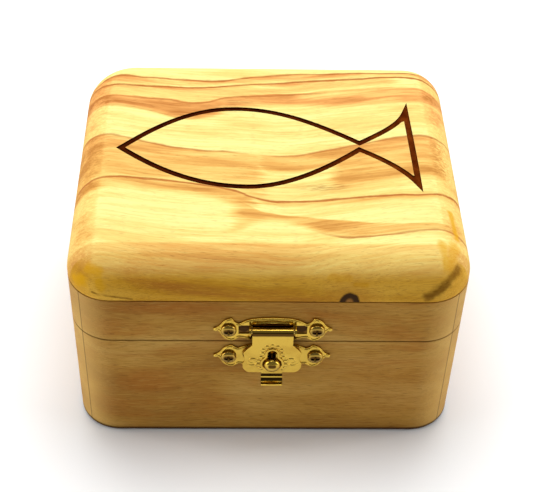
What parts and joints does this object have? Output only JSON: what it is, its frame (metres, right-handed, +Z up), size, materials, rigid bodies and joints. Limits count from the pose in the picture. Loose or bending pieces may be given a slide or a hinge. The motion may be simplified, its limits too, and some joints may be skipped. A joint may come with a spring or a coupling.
{
  "type": "olive wood box",
  "caption": "Small lidded wooden box with mitred walls, rounded corners, a thick rounded top board on a hinged lid, and a brass hasp clasp on the front.",
  "frame": {"origin": "middle of the underside of the bottom panel", "axes": "+Z up, -Y towards the front with the clasp, +X to the right seen from the front"},
  "size_m": [0.1002, 0.0953, 0.0611],
  "materials": {
    "wood_top": "satin varnish over pale olive wood with darker figure",
    "wood_wall": "satin varnish over golden brown olive wood",
    "wood_floor": "sanded olive wood",
    "brass_clasp": "bright plated, stamped",
    "brass_screw": "bright plated",
    "brass_pin": "drawn wire",
    "brass_hinge": "plated sheet"
  },
  "bodies": {
    "base": {"base_front": "wood_wall", "base_back": "wood_wall", "base_left": "wood_wall", "base_right": "wood_wall", "base_floor": "wood_floor", "hinge_leaf_base_left": "brass_hinge", "hinge_leaf_base_right": "brass_hinge", "hinge_pin_left": "brass_pin", "hinge_pin_right": "brass_pin", "clasp_plate_base": "brass_clasp", "clasp_stud": "brass_clasp", "clasp_screws_base": "brass_screw"},
    "lid": {"lid_top": "wood_top", "lid_front": "wood_wall", "lid_back": "wood_wall", "lid_left": "wood_wall", "lid_right": "wood_wall", "hinge_leaf_lid_left": "brass_hinge", "hinge_leaf_lid_right": "brass_hinge", "clasp_plate_lid": "brass_clasp", "clasp_pin": "brass_pin", "clasp_screws_lid": "brass_screw"},
    "hasp": {"clasp_hasp": "brass_clasp"}
  },
  "joints": [
    {"name": "lid_hinge", "type": "hinge", "parent": "base", "child": "lid", "pos_m": [0, 0.0453, 0.036], "axis": [-1, 0, 0], "range_deg": [0, 115]},
    {"name": "hasp_hinge", "type": "hinge", "parent": "lid", "child": "hasp", "pos_m": [0.001, -0.04522, 0.04125], "axis": [-1, 0, 0], "range_deg": [0, 170]}
  ]
}
